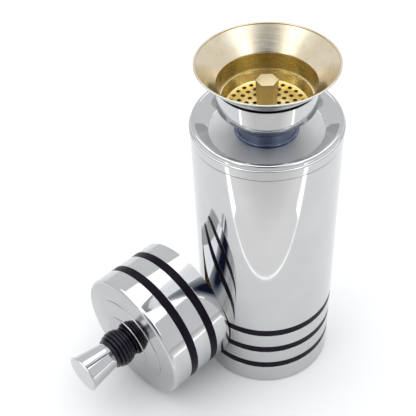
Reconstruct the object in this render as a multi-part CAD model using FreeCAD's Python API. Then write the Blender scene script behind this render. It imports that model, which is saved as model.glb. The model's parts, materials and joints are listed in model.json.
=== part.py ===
import FreeCAD, Part
import math
import os

# Cocktail shaker set: a straight-sided body, a push-in pouring top with a lift-out strainer,
# and the cap lying on its side next to the body.
# Millimetres, +Z up. The origin is the centre of the flat base that the body stands on.
# Every outline is a list of corners (radius, height, rounding of that corner).

# body
BODY_R = 47.6
WALL = 0.7
BODY_TOP = 200.0
BASE_T = 1.0
BASE_FLANGE = 9.0
TUBE_FOOT = 0.3

# inlaid black bands, on the body and on the cap: heights of their middles
BAND_W = 6.2
GROOVE_DEPTH = 0.65
BAND_RECESS = 0.15
BODY_BANDS = {"lower": 19.9, "middle": 38.4, "upper": 57.0}
CAP_BANDS = {"lower": 14.9, "upper": 33.4}

# pouring top
FIT = 0.05
SEAM_GAP = 0.15
SHEET = 0.9
SPOUT_SHEET = 0.45
SLEEVE_LENGTH = 22.0
BEAD_TOP = 207.1
BEAD_SWELL = 0.15
SPIGOT_R = BODY_R - WALL - FIT
CREST_Z = 210.2
CREST_INNER_R = 44.4
DISH_R = 35.8
DISH_Z = 202.0
DISH_FALL = 0.8
NECK_R = 18.3
NECK_FLANGE_R = 22.0
NECK_FOOT_R = 20.0
NECK_FOOT_H = 1.9
NECK_TOP_Z = 208.9
CUP_R = 30.9
CUP_TURN_R = 30.55
CUP_TURN_Z = 221.3

# funnel
THROAT_R = 28.25
THROAT_TOP_R = 29.75
THROAT_TOP_Z = 236.2
FUNNEL_RIM_R = 41.9
FUNNEL_RIM_Z = 249.1
RIM_R = 42.85
RIM_TOP = 249.9
SEAT_TOP = 217.8
SEAT_R = 23.6
SEAT_TURN_R = 26.3
THROAT_LOW_Z = 223.2

# strainer
STRAINER_R = THROAT_R - FIT
STRAINER_T = 0.7
PLATE_TOP = 218.6
PLATE_TURN_R = 25.9
STRAINER_WALL_Z = 223.8
STRAINER_RIM_Z = 225.4
HOLE_R = 1.45
HOLE_RINGS = ((7.55, 10, 0.5), (12.5, 16, 0.5), (17.5, 22, 0.0), (22.5, 28, 0.0))
HEX_FLATS_TOP = 12.0
HEX_FLATS_BOTTOM = 10.6
HEX_TOP_Z = 237.0
HEX_TURN_DEG = 3.0
HEX_CHAMFER = 0.7
HEX_CORNER_R = 7.4
POST_SCREW_R = 2.5
POST_THREAD = 8.0
WASHER_R = 5.4
WASHER_T = 0.8
SCREW_HEAD_R = 4.3
SCREW_HEAD_H = 2.2
SLOT_W = 0.9
SLOT_DEPTH = 0.9

# cap, in its own frame: +Z from the open end to the knob
CAP_LENGTH = 51.2
CAP_EDGE_R = 2.6
CAP_CROWN_Z = 53.0
STEP_LOWER_R = 33.2
STEP_LOWER_Z = 55.1
STEP_UPPER_R = 20.2
STEP_UPPER_Z = 55.9
STEP_LIP = 0.5
COLLAR_TOP = 71.5
COLLAR_RIBS = 6
COLLAR_ROOT_R = 9.4
COLLAR_END_R = 10.6
COLLAR_MID_R = 13.6
KNOB_NARROW_R = 9.7
KNOB_WIDE_R = 13.0
KNOB_FLANGE_R = 13.5
KNOB_FLANGE_T = 1.0
KNOB_TOP = 94.8
STUD_R = 3.0
STUD_HOLE_R = STUD_R + FIT
STUD_IN_KNOB = 12.0
STUD_BELOW_CROWN = 6.2
NUT_WASHER_R = 9.0
NUT_WASHER_T = 1.0
NUT_FLATS = 10.0
NUT_H = 4.0

# where the cap lies: centre of its open end on the table, and the way its open end faces
CAP_OPEN_X = -60.1
CAP_OPEN_Y = -9.1
CAP_AZIMUTH_DEG = 47.0

Z_AXIS = FreeCAD.Vector(0, 0, 1)
ORIGIN = FreeCAD.Vector(0, 0, 0)


def corner_arc(before, corner, after, radius):
    """Start, middle and end of the arc that rounds a corner, in the (r, z) plane."""
    here = FreeCAD.Vector(corner[0], 0, corner[1])
    back = (FreeCAD.Vector(before[0], 0, before[1]) - here).normalize()
    ahead = (FreeCAD.Vector(after[0], 0, after[1]) - here).normalize()
    half = back.getAngle(ahead) / 2
    reach = radius / math.tan(half)
    bisector = (back + ahead).normalize()
    centre = here + bisector * (radius / math.sin(half))
    return here + back * reach, centre - bisector * radius, here + ahead * reach


def outline(corners):
    """Closed face in the (r, z) plane from corners (r, z, rounding)."""
    edges = []
    ends = []
    for index, corner in enumerate(corners):
        before = corners[index - 1]
        after = corners[(index + 1) % len(corners)]
        if corner[2] > 0:
            start, middle, end = corner_arc(before, corner, after, corner[2])
            edges.append(Part.Arc(start, middle, end).toShape())
        else:
            start = FreeCAD.Vector(corner[0], 0, corner[1])
            end = start
        ends.append((start, end))
    for index, (start, end) in enumerate(ends):
        previous_end = ends[index - 1][1]
        if (start - previous_end).Length > 1e-6:
            edges.append(Part.makeLine(previous_end, start))
    return Part.Face(Part.Wire(Part.__sortEdges__(edges)))


def turned(corners):
    """Solid of revolution about Z of a closed outline."""
    return outline(corners).revolve(ORIGIN, Z_AXIS, 360)


def offset_corner(before, corner, after, distance):
    """Corner of a path moved sideways, to the left of its direction, by distance."""
    here = FreeCAD.Vector(corner[0], 0, corner[1])
    sides = []
    if before is not None:
        step = (here - FreeCAD.Vector(before[0], 0, before[1])).normalize()
        sides.append(FreeCAD.Vector(-step.z, 0, step.x))
    if after is not None:
        step = (FreeCAD.Vector(after[0], 0, after[1]) - here).normalize()
        sides.append(FreeCAD.Vector(-step.z, 0, step.x))
    if len(sides) == 1:
        moved = here + sides[0] * distance
        return moved.x, moved.z, 0
    middle = (sides[0] + sides[1]).normalize()
    moved = here + middle * (distance / middle.dot(sides[0]))
    turn = sides[0].x * sides[1].z - sides[0].z * sides[1].x
    rounding = corner[2] - distance if turn > 0 else corner[2] + distance
    return moved.x, moved.z, max(rounding, 0) if corner[2] > 0 else 0


def spun_sheet(path, thickness):
    """Spun metal sheet: a path of corners, thickened to the left of its direction."""
    neighbours = [None] + list(path) + [None]
    other_side = []
    for index, corner in enumerate(path):
        before = neighbours[index]
        after = neighbours[index + 2]
        other_side.append(offset_corner(before, corner, after, thickness))
    return turned(list(path) + other_side[::-1])


def ring(inner_r, outer_r, low, high, rounding=0.0):
    """Flat ring with its outer corners rounded."""
    return turned([
        (inner_r, low, 0),
        (outer_r, low, rounding),
        (outer_r, high, rounding),
        (inner_r, high, 0),
    ])


def rod(radius, low, high):
    return Part.makeCylinder(radius, high - low, FreeCAD.Vector(0, 0, low))


def hexagon(across_flats, height, turn_deg):
    """Six-sided wire at a height; turn_deg is the direction of one corner."""
    reach = across_flats / math.sqrt(3)
    points = []
    for corner in range(7):
        angle = math.radians(turn_deg + 60 * corner)
        points.append(FreeCAD.Vector(reach * math.cos(angle), reach * math.sin(angle), height))
    return Part.makePolygon(points)


def grooved_wall(low, high, band_centres):
    """Path up the outside of a straight wall, stepping in at each band's groove."""
    path = [(BODY_R, low, 0)]
    for centre_z in sorted(band_centres):
        start = centre_z - BAND_W / 2
        end = centre_z + BAND_W / 2
        path += [(BODY_R, start, 0), (BODY_R - GROOVE_DEPTH, start, 0)]
        path += [(BODY_R - GROOVE_DEPTH, end, 0), (BODY_R, end, 0)]
    return path + [(BODY_R, high, 0)]


def band(centre_z):
    """Black band that fills a groove to just below the metal's surface."""
    floor_r = BODY_R - GROOVE_DEPTH
    surface_r = BODY_R - BAND_RECESS
    return ring(floor_r, surface_r, centre_z - BAND_W / 2, centre_z + BAND_W / 2, 0.12)


def body_tube():
    """Straight tube, its grooves pressed in so that they stand out on the inside."""
    return spun_sheet(grooved_wall(TUBE_FOOT, BODY_TOP, BODY_BANDS.values()), WALL)


def base_pan():
    """Flat base, turned up inside the tube."""
    pan_r = BODY_R - WALL
    path = [(0, 0, 0), (pan_r, 0, 1.6), (pan_r, BASE_FLANGE, 0)]
    return spun_sheet(path, BASE_T)


def plug_sleeve():
    """Straight sleeve of the pouring top that pushes into the body tube."""
    low = BODY_TOP - SLEEVE_LENGTH
    high = BODY_TOP + SEAM_GAP
    inner_r = SPIGOT_R - SHEET
    return turned([
        (inner_r, low, 0.3),
        (SPIGOT_R, low, 0.4),
        (SPIGOT_R, high, 0),
        (inner_r, high, 0),
    ])


def shoulder_bead():
    """Ring that rests on the tube's edge and carries the cap."""
    inner_r = SPIGOT_R - SHEET
    low = BODY_TOP + SEAM_GAP
    outer_r = BODY_R + BEAD_SWELL
    return turned([
        (inner_r, low, 0),
        (outer_r, low, 0.5),
        (outer_r, BEAD_TOP, 0.9),
        (inner_r, BEAD_TOP, 0),
    ])


def shoulder_dish():
    """Spun shoulder: short wall, narrow rounded crest, steep inner slope and sunk plate."""
    path = [
        (SPIGOT_R, BEAD_TOP, 0),
        (SPIGOT_R, CREST_Z, 1.6),
        (CREST_INNER_R, CREST_Z, 1.2),
        (DISH_R, DISH_Z, 1.0),
        (NECK_R + FIT, DISH_Z - DISH_FALL, 0),
    ]
    return spun_sheet(path, SHEET)


def neck_cup():
    """Chrome cup below the funnel: flange under the sunk plate, footed neck, bowl and wall."""
    flange_top = DISH_Z - DISH_FALL - SHEET - FIT
    path = [
        (NECK_FLANGE_R, flange_top, 0),
        (NECK_R, flange_top, 0),
        (NECK_R, NECK_TOP_Z, 1.5),
        (CUP_TURN_R, CUP_TURN_Z, 0.8),
        (CUP_R, THROAT_TOP_Z - 0.7, 0),
    ]
    plate_z = DISH_Z - DISH_FALL + 0.1
    foot = turned([
        (NECK_R - SPOUT_SHEET, plate_z, 0),
        (NECK_FOOT_R, plate_z, 0),
        (NECK_FOOT_R, plate_z + 0.25, 0),
        (NECK_R + 0.35, plate_z + 0.6, 0.8),
        (NECK_R, plate_z + NECK_FOOT_H, 0),
        (NECK_R - SPOUT_SHEET, plate_z + NECK_FOOT_H, 0),
    ])
    return spun_sheet(path, SPOUT_SHEET).fuse(foot).removeSplitter()


def funnel():
    """Pouring funnel: seat for the strainer, straight throat and wide flare."""
    path = [
        (SEAT_R, SEAT_TOP, 0),
        (SEAT_TURN_R, SEAT_TOP, 1.8),
        (THROAT_R, THROAT_LOW_Z, 0.8),
        (THROAT_R, STRAINER_RIM_Z + 0.8, 2.0),
        (THROAT_TOP_R, THROAT_TOP_Z, 1.6),
        (FUNNEL_RIM_R, FUNNEL_RIM_Z, 0),
    ]
    return spun_sheet(path, -SPOUT_SHEET)


def funnel_lip():
    """Thin rolled lip on the funnel's edge."""
    return ring(FUNNEL_RIM_R - 0.3, RIM_R, FUNNEL_RIM_Z, RIM_TOP, 0.35)


def strainer_cup():
    """Shallow perforated cup."""
    path = [
        (POST_SCREW_R + FIT, PLATE_TOP - STRAINER_T, 0),
        (PLATE_TURN_R, PLATE_TOP - STRAINER_T, 1.8),
        (STRAINER_R, STRAINER_WALL_Z, 0.8),
        (STRAINER_R, STRAINER_RIM_Z, 0),
    ]
    cup = spun_sheet(path, STRAINER_T)
    drills = []
    for ring_r, count, first in HOLE_RINGS:
        for index in range(count):
            angle = 2 * math.pi * (index + first) / count
            drill = rod(HOLE_R, PLATE_TOP - 2, PLATE_TOP + 2)
            drill.translate(FreeCAD.Vector(ring_r * math.cos(angle), ring_r * math.sin(angle), 0))
            drills.append(drill)
    return cup.cut(Part.makeCompound(drills))


def hex_post():
    """Six-sided finger post, a little wider at the top, tapped from below."""
    low = hexagon(HEX_FLATS_BOTTOM, PLATE_TOP, HEX_TURN_DEG)
    high = hexagon(HEX_FLATS_TOP, HEX_TOP_Z, HEX_TURN_DEG)
    post = Part.makeLoft([low, high], True, True)
    trim = turned([
        (0, PLATE_TOP, 0),
        (HEX_CORNER_R, PLATE_TOP, 0),
        (HEX_CORNER_R, HEX_TOP_Z - HEX_CHAMFER, 0),
        (HEX_CORNER_R - 1.0, HEX_TOP_Z, 0),
        (0, HEX_TOP_Z, 0),
    ])
    return post.common(trim).cut(rod(POST_SCREW_R, PLATE_TOP, PLATE_TOP + POST_THREAD))


def post_washer():
    under_plate = PLATE_TOP - STRAINER_T
    return ring(POST_SCREW_R + FIT, WASHER_R, under_plate - WASHER_T, under_plate, 0.2)


def post_screw():
    """Round-headed screw that holds the post from below."""
    head_top = PLATE_TOP - STRAINER_T - WASHER_T
    head_low = head_top - SCREW_HEAD_H
    head = turned([
        (0, head_low, 0),
        (SCREW_HEAD_R, head_low, SCREW_HEAD_H - 0.4),
        (SCREW_HEAD_R, head_top, 0),
        (0, head_top, 0),
    ])
    shank = rod(POST_SCREW_R, head_top - 0.5, PLATE_TOP + POST_THREAD - 1)
    corner = FreeCAD.Vector(-SCREW_HEAD_R - 1, -SLOT_W / 2, head_low - 1)
    slot = Part.makeBox(2 * SCREW_HEAD_R + 2, SLOT_W, SLOT_DEPTH + 1, corner)
    return head.fuse(shank).removeSplitter().cut(slot)


def cap_shell():
    """Drawn cap: grooved skirt, rounded edge and a slightly crowned end with the stud's hole."""
    path = grooved_wall(0, CAP_LENGTH, CAP_BANDS.values())
    path[-1] = (BODY_R, CAP_LENGTH, CAP_EDGE_R)
    path.append((STEP_LOWER_R, CAP_CROWN_Z, 0))
    path.append((STUD_HOLE_R, CAP_CROWN_Z, 0))
    return spun_sheet(path, WALL)


def cap_step_lower():
    """Disc on the cap's end: a small soft step, then a gentle slope up to the next disc."""
    return turned([
        (STUD_HOLE_R, CAP_CROWN_Z, 0),
        (STEP_LOWER_R, CAP_CROWN_Z, 0),
        (STEP_LOWER_R, CAP_CROWN_Z + STEP_LIP, 0.3),
        (STEP_UPPER_R, STEP_LOWER_Z, 0),
        (STUD_HOLE_R, STEP_LOWER_Z, 0),
    ])


def cap_step_upper():
    """Smaller disc under the collar."""
    return turned([
        (STUD_HOLE_R, STEP_LOWER_Z, 0),
        (STEP_UPPER_R, STEP_LOWER_Z, 0),
        (STEP_UPPER_R, STEP_LOWER_Z + STEP_LIP, 0.3),
        (STUD_HOLE_R, STEP_UPPER_Z, 0),
    ])


def knob_collar():
    """Black collar, turned with round ribs that swell towards the middle."""
    low = STEP_UPPER_Z
    pitch = (COLLAR_TOP - low) / COLLAR_RIBS
    collar = rod(COLLAR_ROOT_R, low, COLLAR_TOP)
    for index in range(COLLAR_RIBS):
        middle = low + pitch * (index + 0.5)
        swell = math.sin(math.pi * (index + 0.5) / COLLAR_RIBS)
        radius = COLLAR_END_R + (COLLAR_MID_R - COLLAR_END_R) * swell
        half = pitch / 2
        collar = collar.fuse(turned([
            (0, middle - half, 0),
            (radius, middle - half, half * 0.7),
            (radius, middle + half, half * 0.7),
            (0, middle + half, 0),
        ]))
    return collar.cut(rod(STUD_HOLE_R, low, COLLAR_TOP))


def knob():
    """Chrome knob: a cone that widens to a thin flange and a flat end."""
    low = COLLAR_TOP
    body = turned([
        (0, low, 0),
        (KNOB_NARROW_R, low, 0.3),
        (KNOB_WIDE_R, KNOB_TOP - KNOB_FLANGE_T - 0.3, 0),
        (KNOB_FLANGE_R, KNOB_TOP - KNOB_FLANGE_T, 0),
        (KNOB_FLANGE_R, KNOB_TOP, 0.35),
        (0, KNOB_TOP, 0),
    ])
    return body.cut(rod(STUD_R, low, low + STUD_IN_KNOB))


def knob_stud():
    """Threaded stud from the knob down through the collar, the steps and the cap."""
    return rod(STUD_R, CAP_CROWN_Z - WALL - STUD_BELOW_CROWN, COLLAR_TOP + STUD_IN_KNOB)


def knob_washer():
    top = CAP_CROWN_Z - WALL
    return ring(STUD_HOLE_R, NUT_WASHER_R, top - NUT_WASHER_T, top, 0.2)


def knob_nut():
    """Hexagon nut inside the cap."""
    top = CAP_CROWN_Z - WALL - NUT_WASHER_T
    low = top - NUT_H
    blank = Part.Face(hexagon(NUT_FLATS, low, 0)).extrude(FreeCAD.Vector(0, 0, NUT_H))
    return blank.cut(rod(STUD_R, low, top))


def cap_placement():
    """Turns the cap on its side, knob away from the body, and lays it on the table."""
    azimuth = math.radians(CAP_AZIMUTH_DEG)
    knob_way = FreeCAD.Vector(-math.cos(azimuth), -math.sin(azimuth), 0)
    open_end = FreeCAD.Vector(CAP_OPEN_X, CAP_OPEN_Y, BODY_R)
    return FreeCAD.Placement(open_end, FreeCAD.Rotation(Z_AXIS, knob_way))


standing = {
    "body_tube": body_tube(),
    "base_pan": base_pan(),
    "plug_sleeve": plug_sleeve(),
    "shoulder_bead": shoulder_bead(),
    "shoulder_dish": shoulder_dish(),
    "neck_cup": neck_cup(),
    "funnel": funnel(),
    "funnel_lip": funnel_lip(),
    "strainer_cup": strainer_cup(),
    "hex_post": hex_post(),
    "post_washer": post_washer(),
    "post_screw": post_screw(),
}
for place, centre in BODY_BANDS.items():
    standing["body_band_" + place] = band(centre)

lying = {
    "cap_shell": cap_shell(),
    "cap_step_lower": cap_step_lower(),
    "cap_step_upper": cap_step_upper(),
    "knob_collar": knob_collar(),
    "knob": knob(),
    "knob_stud": knob_stud(),
    "knob_washer": knob_washer(),
    "knob_nut": knob_nut(),
}
for place, centre in CAP_BANDS.items():
    lying["cap_band_" + place] = band(centre)

os.makedirs("parts", exist_ok=True)
for name, shape in standing.items():
    shape.exportStep("parts/" + name + ".step")
for name, shape in lying.items():
    shape.Placement = cap_placement().multiply(shape.Placement)
    shape.exportStep("parts/" + name + ".step")
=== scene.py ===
import json
import math

import bmesh
import bpy
from mathutils import Matrix, Vector


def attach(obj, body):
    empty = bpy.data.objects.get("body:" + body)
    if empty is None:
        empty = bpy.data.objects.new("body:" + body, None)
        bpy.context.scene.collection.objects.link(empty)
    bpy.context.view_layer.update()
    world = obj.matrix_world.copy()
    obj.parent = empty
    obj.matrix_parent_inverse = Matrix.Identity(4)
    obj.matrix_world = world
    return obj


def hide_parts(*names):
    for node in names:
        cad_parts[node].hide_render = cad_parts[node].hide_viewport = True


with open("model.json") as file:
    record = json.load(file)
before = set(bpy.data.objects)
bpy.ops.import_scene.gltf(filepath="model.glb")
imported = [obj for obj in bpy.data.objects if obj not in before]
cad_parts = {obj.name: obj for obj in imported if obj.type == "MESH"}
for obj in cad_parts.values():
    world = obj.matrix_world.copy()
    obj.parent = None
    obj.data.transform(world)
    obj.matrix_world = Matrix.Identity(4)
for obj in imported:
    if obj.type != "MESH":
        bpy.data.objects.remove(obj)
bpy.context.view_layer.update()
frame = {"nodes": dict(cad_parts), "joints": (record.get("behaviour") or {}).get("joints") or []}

# The outlines below are in millimetres, as lists of corners (radius, height, rounding).
# They are turned about an axis and scaled to metres.
MM = 0.001
SEGMENTS = 216
ARC_STEPS = 6
SUPPORT = 0.35

# body and bands
BODY_R = 47.6
WALL = 0.7
TUBE_FOOT = 0.3
BODY_TOP = 200.0
BAND_W = 6.2
GROOVE_DEPTH = 0.65
BAND_RECESS = 0.15
PAN_HEIGHT = 9.0
PAN_SHEET = 1.0
BODY_BANDS = {"lower": 19.9, "middle": 38.4, "upper": 57.0}
CAP_BANDS = {"lower": 14.9, "upper": 33.4}

# pouring top
FIT = 0.05
PLATE_GAP = 0.1
SPIGOT_R = 46.85
SLEEVE_DEPTH = 22.0
SEAM_TOP = 200.15
BEAD_TOP = 207.1
BEAD_SWELL = 0.15
CREST_Z = 210.2
CREST_INNER_R = 44.4
DISH_R = 35.8
DISH_Z = 202.0
DISH_FALL = 0.8
NECK_R = 18.3
NECK_FLANGE_R = 22.0
NECK_FOOT_R = 20.0
NECK_FOOT_H = 1.9
FOOT_LAP = 0.2
FOOT_EDGE = 0.25
NECK_TOP_Z = 208.9
CUP_R = 30.9
CUP_TURN_R = 30.55
CUP_TURN_Z = 221.3
CUP_TOP_GAP = 0.7
SHEET = 0.9
SPOUT_SHEET = 0.45
SEAT_R = 23.6
SEAT_TURN_R = 26.3
SEAT_TOP = 217.8
THROAT_LOW_Z = 223.2
THROAT_BEND = 0.8
THROAT_R = 28.25
THROAT_TOP_R = 29.75
THROAT_TOP_Z = 236.2
FUNNEL_RIM_R = 41.9
FUNNEL_RIM_Z = 249.1
RIM_R = 42.85
RIM_TOP = 249.9
LIP_LAP = 0.3

# strainer
STRAINER_R = 28.2
STRAINER_T = 0.7
PLATE_TOP = 218.6
PLATE_TURN_R = 25.9
STRAINER_WALL_Z = 223.8
STRAINER_RIM_Z = 225.4
POST_HOLE_R = 2.55
HOLE_R = 1.45
HOLE_SIDES = 28
DRILL_DEPTH = 4.0
HOLE_RINGS = ((7.55, 10, 0.5), (12.5, 16, 0.5), (17.5, 22, 0.0), (22.5, 28, 0.0))
HEX_FLATS_TOP = 12.0
HEX_FLATS_BOTTOM = 10.6
HEX_TOP_Z = 237.0
HEX_TURN_DEG = 3.0
HEX_EDGE = 0.35

# cap, in its own frame: +Z from the open end to the knob
CAP_LENGTH = 51.2
CAP_EDGE_R = 2.6
CAP_CROWN_Z = 53.0
STUD_HOLE_R = 3.05
STEP_LOWER_R = 33.2
STEP_LOWER_Z = 55.1
STEP_UPPER_R = 20.2
STEP_UPPER_Z = 55.9
STEP_LIP = 0.5
COLLAR_TOP = 71.5
COLLAR_RIBS = 6
COLLAR_ROOT_R = 9.4
COLLAR_END_R = 10.6
COLLAR_MID_R = 13.6
RIB_SHOULDER = 0.1
KNOB_NARROW_R = 9.7
KNOB_WIDE_R = 13.0
KNOB_FLANGE_R = 13.5
KNOB_FLANGE_T = 1.0
KNOB_FLARE = 0.3
KNOB_TOP = 94.8
CAP_OPEN = (-60.1, -9.1)


# ---------------------------------------------------------------- outlines

def arc_points(before, corner, after, radius):
    """Points along the arc that rounds a corner of an outline."""
    here = Vector(corner[:2])
    back = (Vector(before[:2]) - here).normalized()
    ahead = (Vector(after[:2]) - here).normalized()
    half = back.angle(ahead) / 2
    centre = here + (back + ahead).normalized() * (radius / math.sin(half))
    start = (here + back * (radius / math.tan(half)) - centre).normalized()
    end = (here + ahead * (radius / math.tan(half)) - centre).normalized()
    return [centre + start.slerp(end, step / ARC_STEPS) * radius for step in range(ARC_STEPS + 1)]


def rounded(corners, closed=True):
    """Outline points from corners (r, z, rounding)."""
    points = []
    for index, corner in enumerate(corners):
        at_end = not closed and index in (0, len(corners) - 1)
        if corner[2] > 0 and not at_end:
            after = corners[(index + 1) % len(corners)]
            points += arc_points(corners[index - 1], corner, after, corner[2])
        else:
            points.append(Vector(corner[:2]))
    return points


def with_supports(points):
    """Extra points just inside the ends of long straight runs, which keep the shading of flats true."""
    result = []
    for index, point in enumerate(points):
        after = points[(index + 1) % len(points)]
        run = after - point
        result.append(point)
        if run.length > 4 * SUPPORT:
            step = run.normalized() * SUPPORT
            result += [point + step, after - step]
    return result


def offset_corners(corners, distance):
    """Open corners moved to the left of their path by distance, with their roundings to suit."""
    moved = []
    for index, corner in enumerate(corners):
        here = Vector(corner[:2])
        sides = []
        for start, end in ((index - 1, index), (index, index + 1)):
            if 0 <= start and end < len(corners):
                step = (Vector(corners[end][:2]) - Vector(corners[start][:2])).normalized()
                sides.append(Vector((-step.y, step.x)))
        middle = sum(sides, Vector((0, 0))).normalized()
        moved_to = here + middle * (distance / middle.dot(sides[0]))
        rounding = 0
        if corner[2] > 0 and len(sides) == 2:
            turns_left = sides[0].x * sides[1].y - sides[0].y * sides[1].x > 0
            rounding = max(corner[2] - distance if turns_left else corner[2] + distance, 0)
        moved.append((moved_to.x, moved_to.y, rounding))
    return moved


def sheet(corners, thickness):
    """Outline of a sheet along open corners, thickened to the left, and how many points its path has."""
    path = rounded(corners, closed=False)
    return path + rounded(offset_corners(corners, thickness), closed=False)[::-1], len(path)


def grooved(low, high, centres, rounding=0.14):
    """Corners up a straight wall that steps in at each band's groove."""
    path = [(BODY_R, low, 0)]
    for centre_z in sorted(centres):
        start = centre_z - BAND_W / 2
        end = centre_z + BAND_W / 2
        path += [(BODY_R, start, rounding), (BODY_R - GROOVE_DEPTH, start, 0)]
        path += [(BODY_R - GROOVE_DEPTH, end, 0), (BODY_R, end, rounding)]
    return path + [(BODY_R, high, 0)]


# ---------------------------------------------------------------- meshes

def finish_mesh(mesh, name, place, sharp_deg=32):
    """Object from a bmesh, moved to its place, smooth apart from its sharp corners."""
    bmesh.ops.remove_doubles(mesh, verts=mesh.verts, dist=1e-7)
    bmesh.ops.recalc_face_normals(mesh, faces=mesh.faces)
    mesh.transform(place)
    data = bpy.data.meshes.new(name)
    mesh.to_mesh(data)
    mesh.free()
    data.shade_smooth()
    data.set_sharp_from_angle(angle=math.radians(sharp_deg))
    piece = bpy.data.objects.new(name, data)
    bpy.context.scene.collection.objects.link(piece)
    return piece


def lathe(name, outline, place=Matrix.Identity(4), materials=(), split=None):
    """Closed outline turned about Z. From the split point on, faces take the second material."""
    points = with_supports(outline)
    second_from = len(points)
    if split is not None:
        second_from = points.index(outline[split - 1])
    mesh = bmesh.new()
    rings = []
    for point in points:
        if abs(point.x) < 1e-6:
            rings.append([mesh.verts.new((0, 0, point.y * MM))] * SEGMENTS)
            continue
        ring = []
        radius = point.x * MM
        for index in range(SEGMENTS):
            angle = 2 * math.pi * index / SEGMENTS
            ring.append(mesh.verts.new((radius * math.cos(angle), radius * math.sin(angle), point.y * MM)))
        rings.append(ring)
    for index, ring in enumerate(rings):
        after = rings[(index + 1) % len(rings)]
        for side in range(SEGMENTS):
            beside = (side + 1) % SEGMENTS
            corners = []
            for vert in (ring[side], ring[beside], after[beside], after[side]):
                if vert not in corners:
                    corners.append(vert)
            if len(corners) > 2:
                face = mesh.faces.new(corners)
                face.material_index = int(second_from <= index < len(points))
    piece = finish_mesh(mesh, name, place)
    for material in materials:
        piece.data.materials.append(material)
    return piece


def repaint(piece, material, chosen):
    """Gives a further material to those of the first material's faces that pass a test."""
    piece.data.materials.append(material)
    for face in piece.data.polygons:
        if face.material_index == 0 and chosen(face):
            face.material_index = len(piece.data.materials) - 1


def stands_for(piece, body, slot, *nodes):
    """The piece rides on a body and takes the place of CAD nodes, which it hides; the slot is not used."""
    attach(piece, body)
    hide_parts(*nodes)
    return piece


# ---------------------------------------------------------------- materials

class Nodes:
    """Short calls for building a material's node tree."""

    def __init__(self, name):
        self.material = bpy.data.materials.new(name)
        self.material.use_nodes = True
        self.tree = self.material.node_tree
        self.shader = self.tree.nodes["Principled BSDF"]
        self.place = self.tree.nodes.new("ShaderNodeTexCoord").outputs["Object"]

    def link(self, source, target):
        self.tree.links.new(source, target)

    def stretched(self, scale):
        """Object coordinates stretched by a scale for each axis."""
        mapping = self.tree.nodes.new("ShaderNodeMapping")
        mapping.inputs["Scale"].default_value = scale
        self.link(self.place, mapping.inputs["Vector"])
        return mapping.outputs["Vector"]

    def noise(self, scale, detail=3.0, roughness=0.5, vector=None):
        node = self.tree.nodes.new("ShaderNodeTexNoise")
        node.inputs["Scale"].default_value = scale
        node.inputs["Detail"].default_value = detail
        node.inputs["Roughness"].default_value = roughness
        self.link(vector or self.place, node.inputs["Vector"])
        return node.outputs["Fac"]

    def ranged(self, value, from_low, from_high, to_low, to_high):
        node = self.tree.nodes.new("ShaderNodeMapRange")
        for socket, number in zip(list(node.inputs)[1:5], (from_low, from_high, to_low, to_high)):
            socket.default_value = number
        self.link(value, node.inputs["Value"])
        return node.outputs["Result"]

    def mixed(self, factor, first, second):
        node = self.tree.nodes.new("ShaderNodeMix")
        node.data_type = "RGBA"
        self.link(factor, node.inputs["Factor"])
        for socket, colour in ((node.inputs["A"], first), (node.inputs["B"], second)):
            if isinstance(colour, tuple):
                socket.default_value = (*colour, 1)
            else:
                self.link(colour, socket)
        return node.outputs["Result"]

    def bump(self, height, distance, strength=1.0, normal=None):
        node = self.tree.nodes.new("ShaderNodeBump")
        node.inputs["Strength"].default_value = strength
        node.inputs["Distance"].default_value = distance
        self.link(height, node.inputs["Height"])
        if normal:
            self.link(normal, node.inputs["Normal"])
        return node.outputs["Normal"]

    def set(self, **values):
        for name, value in values.items():
            socket = self.shader.inputs[name.replace("_", " ")]
            if isinstance(value, bpy.types.NodeSocket):
                self.link(value, socket)
            elif isinstance(value, tuple):
                socket.default_value = (*value, 1)
            else:
                socket.default_value = value


def chrome(name, colour, smudged, rough_low, rough_high, metallic=1.0):
    """Polished plating: faint smudges, hairline scratches and a gentle waviness."""
    nodes = Nodes(name)
    smudges = nodes.noise(38, 5, 0.6)
    scratches = nodes.noise(1.0, 6, 0.7, nodes.stretched((900, 900, 60)))
    waves = nodes.noise(22, 1, 0.4)
    nodes.set(
        Metallic=metallic,
        Base_Color=nodes.mixed(nodes.ranged(smudges, 0.35, 0.75, 0, 1), colour, smudged),
        Roughness=nodes.ranged(smudges, 0.3, 0.8, rough_low, rough_high),
        Normal=nodes.bump(scratches, 0.0000006, 0.35, nodes.bump(waves, 0.00002, 0.5)),
    )
    return nodes.material


def brass(name, colour, tarnish, rough_low, rough_high, grain=(700, 700, 700)):
    """Satin brass: cloudy tarnish, a turned grain and fine pits."""
    nodes = Nodes(name)
    clouds = nodes.noise(60, 6, 0.62)
    turned = nodes.noise(1.0, 5, 0.6, nodes.stretched(grain))
    nodes.set(
        Metallic=1.0,
        Base_Color=nodes.mixed(nodes.ranged(clouds, 0.35, 0.72, 0, 1), colour, tarnish),
        Roughness=nodes.ranged(turned, 0.3, 0.7, rough_low, rough_high),
        Normal=nodes.bump(turned, 0.000004, 0.5),
    )
    return nodes.material


def black_gloss(name, colour, sheen_colour, rough_low, rough_high, shine):
    """Black enamel or moulded plastic with soft cloudy wear."""
    nodes = Nodes(name)
    wear = nodes.noise(120, 5, 0.6)
    pits = nodes.noise(900, 2, 0.5)
    nodes.set(
        Base_Color=nodes.mixed(nodes.ranged(wear, 0.4, 0.8, 0, 1), colour, sheen_colour),
        Roughness=nodes.ranged(wear, 0.3, 0.8, rough_low, rough_high),
        IOR=1.45,
        Specular_IOR_Level=shine,
        Normal=nodes.bump(pits, 0.000008, 0.3),
    )
    return nodes.material


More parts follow.
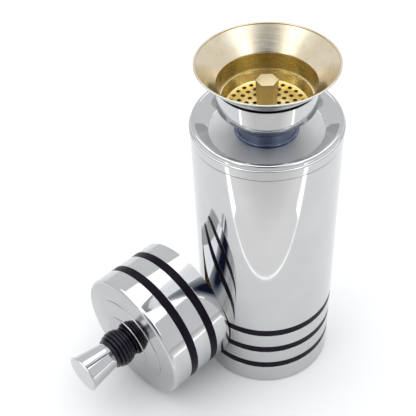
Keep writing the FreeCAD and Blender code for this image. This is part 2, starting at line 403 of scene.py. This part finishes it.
CHROME = chrome("chrome", (0.575, 0.582, 0.59), (0.53, 0.537, 0.545), 0.035, 0.09)
# painted shade: a darker copy of the chrome for the cap's knob-facing face and step discs, which dims their
# reflection; the higher roughness is the face's own finish
FACE_CHROME_PAINTED_SHADE = chrome("face_chrome_painted_shade", (0.49, 0.495, 0.505), (0.44, 0.445, 0.45), 0.06, 0.14)
# painted reflection: a dark navy chrome colour for the neck, standing in for the dark room that the neck
# mirrors
NECK_PAINTED_REFLECTION = chrome("neck_painted_reflection", (0.14, 0.17, 0.25), (0.11, 0.13, 0.20), 0.04, 0.1)
SATIN_CHROME = chrome("satin_chrome", (0.60, 0.605, 0.61), (0.54, 0.545, 0.55), 0.10, 0.20)
DISH_PLATE = chrome("brushed_plate", (0.66, 0.67, 0.67), (0.58, 0.59, 0.59), 0.42, 0.52, metallic=0.7)
INNER_METAL = chrome("dull_inside", (0.30, 0.30, 0.30), (0.22, 0.215, 0.20), 0.3, 0.5)
FUNNEL_BRASS = brass("funnel_champagne", (0.80, 0.72, 0.58), (0.70, 0.60, 0.42), 0.17, 0.28, (90, 90, 1800))
THROAT_BRASS = brass("throat_gold", (0.60, 0.50, 0.27), (0.42, 0.33, 0.13), 0.2, 0.36, (60, 60, 2500))
WORN_RIM = brass("worn_rim", (0.98, 0.95, 0.86), (0.90, 0.85, 0.70), 0.3, 0.45)
STRAINER_BRASS = brass("strainer_gold", (0.82, 0.70, 0.40), (0.62, 0.49, 0.18), 0.16, 0.30)
POST_BRASS = brass("post_gold", (0.66, 0.56, 0.36), (0.46, 0.37, 0.18), 0.42, 0.58)
CAP_INSIDE = brass("cap_inside", (0.62, 0.50, 0.30), (0.50, 0.38, 0.2), 0.25, 0.4)
FASTENER = chrome("fastener_metal", (0.50, 0.50, 0.49), (0.38, 0.37, 0.35), 0.25, 0.45)
ENAMEL = black_gloss("band_enamel", (0.006, 0.004, 0.009), (0.013, 0.010, 0.017), 0.3, 0.45, 0.06)
COLLAR_BLACK = black_gloss("collar_black", (0.004, 0.003, 0.008), (0.010, 0.007, 0.016), 0.10, 0.22, 0.3)


# ---------------------------------------------------------------- standing pieces

def band_outline(centre_z):
    inner = BODY_R - GROOVE_DEPTH
    outer = BODY_R - BAND_RECESS
    low = centre_z - BAND_W / 2
    high = centre_z + BAND_W / 2
    return rounded([(inner, low, 0), (outer, low, 0.2), (outer, high, 0.2), (inner, high, 0)])


def make_body():
    outline, split = sheet(grooved(TUBE_FOOT, BODY_TOP, BODY_BANDS.values()), WALL)
    tube = lathe("tube_shell", outline, materials=(CHROME, INNER_METAL), split=split)
    stands_for(tube, "shaker_body", "body_chrome", "body_tube")
    pan_r = BODY_R - WALL
    outline, split = sheet([(0, 0, 0), (pan_r, 0, 1.6), (pan_r, PAN_HEIGHT, 0)], PAN_SHEET)
    pan = lathe("base_plate", outline, materials=(SATIN_CHROME, SATIN_CHROME), split=split)
    stands_for(pan, "shaker_body", "base_chrome", "base_pan")
    for place, centre_z in BODY_BANDS.items():
        piece = lathe("body_inlay_" + place, band_outline(centre_z), materials=(ENAMEL,))
        stands_for(piece, "shaker_body", "band_enamel", "body_band_" + place)


def make_shoulder():
    inner_r = SPIGOT_R - SHEET
    low = BODY_TOP - SLEEVE_DEPTH
    outline = rounded([
        (inner_r, low, 0.3),
        (SPIGOT_R, low, 0.4),
        (SPIGOT_R, SEAM_TOP, 0),
        (inner_r, SEAM_TOP, 0),
    ])
    sleeve = lathe("sleeve", outline, materials=(SATIN_CHROME,))
    stands_for(sleeve, "pouring_top", "sleeve_chrome", "plug_sleeve")
    outer_r = BODY_R + BEAD_SWELL
    outline = rounded([
        (inner_r, SEAM_TOP, 0),
        (outer_r, SEAM_TOP, 0.5),
        (outer_r, BEAD_TOP, 0.9),
        (inner_r, BEAD_TOP, 0),
    ])
    bead = lathe("bead_ring", outline, materials=(CHROME,))
    stands_for(bead, "pouring_top", "shoulder_chrome", "shoulder_bead")
    path = [
        (SPIGOT_R, BEAD_TOP, 0),
        (SPIGOT_R, CREST_Z, 1.6),
        (CREST_INNER_R, CREST_Z, 1.2),
        (DISH_R, DISH_Z, 1.0),
        (NECK_R + FIT, DISH_Z - DISH_FALL, 0),
    ]
    outline, split = sheet(path, SHEET)
    dish = lathe("shoulder_sheet", outline, materials=(CHROME, INNER_METAL), split=split)
    plate_limit = (DISH_Z + 0.2) * MM
    repaint(dish, DISH_PLATE, lambda face: face.normal.z > 0.97 and face.center.z < plate_limit)
    stands_for(dish, "pouring_top", "shoulder_chrome", "shoulder_dish")


def faces_out_or_down(face):
    outward = face.normal.x * face.center.x + face.normal.y * face.center.y
    return outward > 0.3 * RIM_R * MM or face.normal.z < -0.5


def make_spout():
    flange_top = DISH_Z - DISH_FALL - SHEET - FIT
    plate_z = DISH_Z - DISH_FALL + PLATE_GAP
    path = [
        (NECK_FLANGE_R, flange_top, 0),
        (NECK_R, flange_top, 0),
        (NECK_R, NECK_TOP_Z, 1.5),
        (CUP_TURN_R, CUP_TURN_Z, 0.8),
        (CUP_R, THROAT_TOP_Z - CUP_TOP_GAP, 0),
    ]
    outline, split = sheet(path, SPOUT_SHEET)
    cup = lathe("spout_cup", outline, materials=(CHROME, INNER_METAL), split=split)
    # the neck's outer faces take the dark navy chrome, a painted reflection of the dark room
    repaint(cup, NECK_PAINTED_REFLECTION, lambda face: face.center.z < NECK_TOP_Z * MM)
    stands_for(cup, "pouring_top", "spout_chrome", "neck_cup")
    outline = rounded([
        (NECK_R - FOOT_LAP, plate_z, 0),
        (NECK_FOOT_R, plate_z, 0),
        (NECK_FOOT_R, plate_z + FOOT_EDGE, 0),
        (NECK_R + 0.35, plate_z + 0.6, 0.8),
        (NECK_R, plate_z + NECK_FOOT_H, 0),
        (NECK_R - FOOT_LAP, plate_z + NECK_FOOT_H, 0),
    ])
    # the foot ring takes the same painted reflection
    foot = lathe("spout_foot", outline, materials=(NECK_PAINTED_REFLECTION,))
    stands_for(foot, "pouring_top", "spout_chrome", "neck_cup")
    path = [
        (SEAT_R, SEAT_TOP, 0),
        (SEAT_TURN_R, SEAT_TOP, 1.8),
        (THROAT_R, THROAT_LOW_Z, 0.8),
        (THROAT_R, STRAINER_RIM_Z + THROAT_BEND, 2.0),
        (THROAT_TOP_R, THROAT_TOP_Z, 1.6),
        (FUNNEL_RIM_R, FUNNEL_RIM_Z, 0),
    ]
    outline, split = sheet(path, -SPOUT_SHEET)
    cone = lathe("funnel_cone", outline, materials=(FUNNEL_BRASS, CHROME), split=split)
    repaint(cone, THROAT_BRASS, lambda face: face.center.z < THROAT_TOP_Z * MM)
    stands_for(cone, "pouring_top", "funnel_brass", "funnel")
    inner_r = FUNNEL_RIM_R - LIP_LAP
    outline = rounded([
        (inner_r, FUNNEL_RIM_Z, 0),
        (RIM_R, FUNNEL_RIM_Z, 0.35),
        (RIM_R, RIM_TOP, 0.35),
        (inner_r, RIM_TOP, 0.3),
    ])
    lip = lathe("lip_ring", outline, materials=(FUNNEL_BRASS,))
    repaint(lip, CHROME, faces_out_or_down)
    stands_for(lip, "pouring_top", "funnel_brass", "funnel_lip")


def drill_holes(cup):
    """Cuts the strainer's rings of holes through its plate."""
    mesh = bmesh.new()
    for ring_r, count, first in HOLE_RINGS:
        for index in range(count):
            angle = 2 * math.pi * (index + first) / count
            middle = Vector((ring_r * math.cos(angle), ring_r * math.sin(angle), PLATE_TOP)) * MM
            bmesh.ops.create_cone(
                mesh, cap_ends=True, segments=HOLE_SIDES, radius1=HOLE_R * MM, radius2=HOLE_R * MM,
                depth=DRILL_DEPTH * MM, matrix=Matrix.Translation(middle))
    data = bpy.data.meshes.new("drill")
    mesh.to_mesh(data)
    mesh.free()
    drill = bpy.data.objects.new("drill", data)
    bpy.context.scene.collection.objects.link(drill)
    cut = cup.modifiers.new("holes", "BOOLEAN")
    cut.operation = "DIFFERENCE"
    cut.solver = "EXACT"
    cut.object = drill
    bpy.context.view_layer.objects.active = cup
    bpy.ops.object.modifier_apply(modifier="holes")
    bpy.data.objects.remove(drill)


def make_strainer():
    path = [
        (POST_HOLE_R, PLATE_TOP - STRAINER_T, 0),
        (PLATE_TURN_R, PLATE_TOP - STRAINER_T, 1.8),
        (STRAINER_R, STRAINER_WALL_Z, 0.8),
        (STRAINER_R, STRAINER_RIM_Z, 0),
    ]
    outline = sheet(path, STRAINER_T)[0]
    cup = lathe("strainer_basket", outline, materials=(STRAINER_BRASS,))
    drill_holes(cup)
    repaint(cup, WORN_RIM, lambda face: face.center.z > (STRAINER_RIM_Z - 0.1) * MM)
    stands_for(cup, "strainer", "strainer_brass", "strainer_cup")


def make_post():
    """Six-sided finger post, a little wider at its top."""
    mesh = bmesh.new()
    rows = ((HEX_FLATS_BOTTOM, PLATE_TOP), (HEX_FLATS_TOP, HEX_TOP_Z))
    rings = []
    for across, height in rows:
        ring = []
        for corner in range(6):
            angle = math.radians(HEX_TURN_DEG + 60 * corner)
            reach = across / math.sqrt(3) * MM
            ring.append(mesh.verts.new((reach * math.cos(angle), reach * math.sin(angle), height * MM)))
        rings.append(ring)
    for corner in range(6):
        beside = (corner + 1) % 6
        mesh.faces.new((rings[0][corner], rings[0][beside], rings[1][beside], rings[1][corner]))
    mesh.faces.new(rings[1])
    mesh.faces.new(rings[0][::-1])
    bmesh.ops.bevel(mesh, geom=mesh.edges[:], offset=HEX_EDGE * MM, segments=3, profile=0.6, affect="EDGES")
    post = finish_mesh(mesh, "finger_post", Matrix.Identity(4))
    post.data.materials.append(POST_BRASS)
    stands_for(post, "strainer", "post_brass", "hex_post")


# ---------------------------------------------------------------- lying cap

def cap_place():
    """From the cap's own frame to where it lies, knob away from the body."""
    pull = next(joint for joint in frame["joints"] if joint["name"] == "cap_pull")
    turn = Vector(pull["axis"]).to_track_quat("Z", "Y").to_matrix().to_4x4()
    return Matrix.Translation((CAP_OPEN[0] * MM, CAP_OPEN[1] * MM, BODY_R * MM)) @ turn


def collar_outline():
    low = STEP_UPPER_Z
    pitch = (COLLAR_TOP - low) / COLLAR_RIBS
    corners = [(STUD_HOLE_R, low, 0)]
    for index in range(COLLAR_RIBS):
        middle = low + pitch * (index + 0.5)
        swell = math.sin(math.pi * (index + 0.5) / COLLAR_RIBS)
        radius = COLLAR_END_R + (COLLAR_MID_R - COLLAR_END_R) * swell
        half = pitch / 2
        corners.append((COLLAR_ROOT_R, middle - half, 0))
        corners.append((radius, middle - half + RIB_SHOULDER, half * 0.7))
        corners.append((radius, middle + half - RIB_SHOULDER, half * 0.7))
    corners += [(COLLAR_ROOT_R, COLLAR_TOP, 0), (STUD_HOLE_R, COLLAR_TOP, 0)]
    return rounded(corners)


def knob_outline():
    return rounded([
        (0, COLLAR_TOP, 0),
        (KNOB_NARROW_R, COLLAR_TOP, 0.3),
        (KNOB_WIDE_R, KNOB_TOP - KNOB_FLANGE_T - KNOB_FLARE, 0.4),
        (KNOB_FLANGE_R, KNOB_TOP - KNOB_FLANGE_T, 0.15),
        (KNOB_FLANGE_R, KNOB_TOP, 0.35),
        (0, KNOB_TOP, 0),
    ])


def make_cap():
    place = cap_place()
    path = grooved(0, CAP_LENGTH, CAP_BANDS.values())
    path[-1] = (BODY_R, CAP_LENGTH, CAP_EDGE_R)
    path += [(STEP_LOWER_R, CAP_CROWN_Z, 0), (STUD_HOLE_R, CAP_CROWN_Z, 0)]
    outline, split = sheet(path, WALL)
    shell = lathe("cap_drawn_shell", outline, place, (CHROME, CAP_INSIDE), split)
    knobward = place.to_3x3() @ Vector((0, 0, 1))
    # the knob-facing faces take the darker chrome, which is painted shade
    repaint(shell, FACE_CHROME_PAINTED_SHADE, lambda face: face.normal.dot(knobward) > 0.95)
    stands_for(shell, "cap", "cap_chrome", "cap_shell")
    for which, centre_z in CAP_BANDS.items():
        piece = lathe("cap_inlay_" + which, band_outline(centre_z), place, (ENAMEL,))
        stands_for(piece, "cap", "band_enamel", "cap_band_" + which)
    outline = rounded([
        (STUD_HOLE_R, CAP_CROWN_Z, 0),
        (STEP_LOWER_R, CAP_CROWN_Z, 0),
        (STEP_LOWER_R, CAP_CROWN_Z + STEP_LIP, 0.3),
        (STEP_UPPER_R, STEP_LOWER_Z, 0),
        (STUD_HOLE_R, STEP_LOWER_Z, 0),
    ])
    lower = lathe("step_disc_lower", outline, place, (FACE_CHROME_PAINTED_SHADE,))
    stands_for(lower, "cap", "cap_chrome", "cap_step_lower")
    outline = rounded([
        (STUD_HOLE_R, STEP_LOWER_Z, 0),
        (STEP_UPPER_R, STEP_LOWER_Z, 0),
        (STEP_UPPER_R, STEP_LOWER_Z + STEP_LIP, 0.3),
        (STUD_HOLE_R, STEP_UPPER_Z, 0),
    ])
    upper = lathe("step_disc_upper", outline, place, (FACE_CHROME_PAINTED_SHADE,))
    stands_for(upper, "cap", "cap_chrome", "cap_step_upper")
    collar = lathe("ribbed_collar", collar_outline(), place, (COLLAR_BLACK,))
    stands_for(collar, "cap", "collar_black", "knob_collar")
    top = lathe("knob_cone", knob_outline(), place, (CHROME,))
    stands_for(top, "cap", "knob_chrome", "knob")


def dress_cad_nodes():
    """Small fasteners keep their CAD shape and get a worn metal."""
    for node in ("post_washer", "post_screw"):
        frame["nodes"][node].data.materials.clear()
        frame["nodes"][node].data.materials.append(POST_BRASS)
    for node in ("knob_stud", "knob_washer", "knob_nut"):
        frame["nodes"][node].data.materials.clear()
        frame["nodes"][node].data.materials.append(FASTENER)


# ---------------------------------------------------------------- studio

# floor: its reach, its top, the y where the white sheet ends in front, the sheet's thickness,
# the two ys between which the table's tone fades, and the tones of the sheet and the table; the table is
# painted lighter near the sheet and darker further out, painted light falling off in front, while its
# warmth is the table's own colour
FLOOR_REACH = 4
FLOOR_TOP = -0.0002
SHEET_FRONT = -0.147
SHEET_PAPER = 0.003
TABLE_PAINTED_SHADE_FADE = (-0.20, -0.27)
SHEET_TONES = ((0.87, 0.87, 0.87), (0.89, 0.89, 0.89))
TABLE_TONES_WITH_PAINTED_SHADE = ((0.92, 0.91, 0.88), (0.70, 0.69, 0.665))

# soft lights: name, place, target, size, brightness
SOFT_LIGHTS = (
    ("overhead", (0, 0.25, 1.4), (0, 0.25, 0), (2.2, 1.8), 1.2),
    ("strip_left", (-0.56, -0.60, 0.86), (0, 0, 0.24), (0.19, 0.45), 1.5),
    ("strip_right", (0.60, -0.56, 0.86), (0, 0, 0.24), (0.19, 0.45), 1.5),
)

# light that lies along the sheet's front edge and that the body mirrors: name, x, y, size, brightness
SHEET_GLINTS = (
    ("sheet_edge", 0.0, SHEET_FRONT, (0.6, 0.0016), 1.45),
    ("sheet_glint_left", -0.25, SHEET_FRONT - 0.010, (0.20, 0.018), 1.5),
    ("sheet_glint_right", 0.25, SHEET_FRONT - 0.010, (0.20, 0.018), 1.5),
)

# the room's tone, and its shaded parts: direction, cosines where the shade starts and is full, colour
ROOM_TONE = (0.88, 0.89, 0.90)
ROOM_SHADES = (
    ((0.0, -0.78, 0.62), 0.87, 0.96, (0.30, 0.34, 0.41)),
    ((0.0, -0.79, 0.61), 0.95, 0.98, (0.012, 0.014, 0.045)),
)

# camera: lens in mm, place, and turns in degrees
CAMERA_LENS = 69.38
CAMERA_PLACE = (0, -0.38895, 0.50926)
CAMERA_HEADING = 5.748
CAMERA_DIP = 43.957
CAMERA_ROLL = -3.473


def plain_surface(name, corners, faces, near, far, painted_shade_fade=None):
    """Staged surface with a faintly uneven tone; with a fade, its tone instead goes along -Y from a first
    tone to a second, darker one, which is painted shade.
    """
    data = bpy.data.meshes.new(name)
    data.from_pydata(corners, [], faces)
    surface = bpy.data.objects.new(name, data)
    bpy.context.scene.collection.objects.link(surface)
    nodes = Nodes(name + "_paint")
    split = nodes.tree.nodes.new("ShaderNodeSeparateXYZ")
    nodes.link(nodes.place, split.inputs["Vector"])
    factor = nodes.noise(3)
    if painted_shade_fade:
        factor = nodes.ranged(split.outputs["Y"], painted_shade_fade[0], painted_shade_fade[1], 0, 1)
    nodes.set(Base_Color=nodes.mixed(factor, near, far), Roughness=0.9, Specular_IOR_Level=0.1)
    data.materials.append(nodes.material)


def make_floor():
    """White sheet whose front edge lies on a pale table, whose tone is painted lighter near the sheet and
    darker further out as painted shade.
    """
    side = FLOOR_REACH
    under = FLOOR_TOP - SHEET_PAPER
    corners = [
        (-side, SHEET_FRONT, under),
        (side, SHEET_FRONT, under),
        (side, SHEET_FRONT, FLOOR_TOP),
        (-side, SHEET_FRONT, FLOOR_TOP),
        (side, side, FLOOR_TOP),
        (-side, side, FLOOR_TOP),
    ]
    plain_surface("floor", corners, [(0, 1, 2, 3), (3, 2, 4, 5)], *SHEET_TONES)
    corners = [(-side, -side, under), (side, -side, under), (side, side, under), (-side, side, under)]
    # the table's tone darkens along -Y: painted shade standing in for light falling off in front of the
    # sheet
    plain_surface("table", corners, [(0, 1, 2, 3)], *TABLE_TONES_WITH_PAINTED_SHADE, TABLE_PAINTED_SHADE_FADE)


def softbox(name, place, target, size, radiance):
    """Flat soft light of a given surface brightness, seen in reflections but not by the camera."""
    light = bpy.data.lights.new(name, "AREA")
    light.shape = "RECTANGLE"
    light.size, light.size_y = size
    light.energy = radiance * math.pi * size[0] * size[1]
    lamp = bpy.data.objects.new(name, light)
    facing = (Vector(target) - Vector(place)).to_track_quat("-Z", "Y").to_matrix().to_4x4()
    lamp.matrix_world = Matrix.Translation(place) @ facing
    lamp.visible_camera = False
    bpy.context.scene.collection.objects.link(lamp)


def make_world():
    """Pale room, a little darker and bluer on the side that the camera looks from."""
    world = bpy.data.worlds.new("studio")
    bpy.context.scene.world = world
    world.use_nodes = True
    tree = world.node_tree
    way = tree.nodes.new("ShaderNodeTexCoord").outputs["Generated"]
    colour = (*ROOM_TONE, 1)
    for toward, start, end, shade in ROOM_SHADES:
        dot = tree.nodes.new("ShaderNodeVectorMath")
        dot.operation = "DOT_PRODUCT"
        dot.inputs[1].default_value = Vector(toward).normalized()
        tree.links.new(way, dot.inputs[0])
        edge = tree.nodes.new("ShaderNodeMapRange")
        edge.interpolation_type = "SMOOTHSTEP"
        edge.inputs["From Min"].default_value = start
        edge.inputs["From Max"].default_value = end
        tree.links.new(dot.outputs["Value"], edge.inputs["Value"])
        mix = tree.nodes.new("ShaderNodeMix")
        mix.data_type = "RGBA"
        tree.links.new(edge.outputs["Result"], mix.inputs["Factor"])
        if isinstance(colour, tuple):
            mix.inputs["A"].default_value = colour
        else:
            tree.links.new(colour, mix.inputs["A"])
        mix.inputs["B"].default_value = (*shade, 1)
        colour = mix.outputs["Result"]
    tree.links.new(colour, tree.nodes["Background"].inputs["Color"])


def make_lights():
    make_world()
    for name, place, target, size, radiance in SOFT_LIGHTS:
        softbox(name, place, target, size, radiance)
    for name, x, y, size, radiance in SHEET_GLINTS:
        softbox(name, (x, y, 0.001), (x, y, 1), size, radiance)


def make_camera():
    """Camera above and in front, turned to the fitted heading, pitch and roll."""
    data = bpy.data.cameras.new("camera")
    data.sensor_width = 36
    data.lens = CAMERA_LENS
    camera = bpy.data.objects.new("camera", data)
    heading = Matrix.Rotation(math.radians(CAMERA_HEADING), 4, "Z")
    pitch = Matrix.Rotation(math.radians(90 - CAMERA_DIP), 4, "X")
    roll = Matrix.Rotation(math.radians(CAMERA_ROLL), 4, "Z")
    camera.matrix_world = Matrix.Translation(CAMERA_PLACE) @ heading @ pitch @ roll
    bpy.context.scene.collection.objects.link(camera)
    bpy.context.scene.camera = camera


make_body()
make_shoulder()
make_spout()
make_strainer()
make_post()
make_cap()
dress_cad_nodes()
make_floor()
make_lights()
make_camera()
bpy.context.scene.view_settings.view_transform = "Standard"
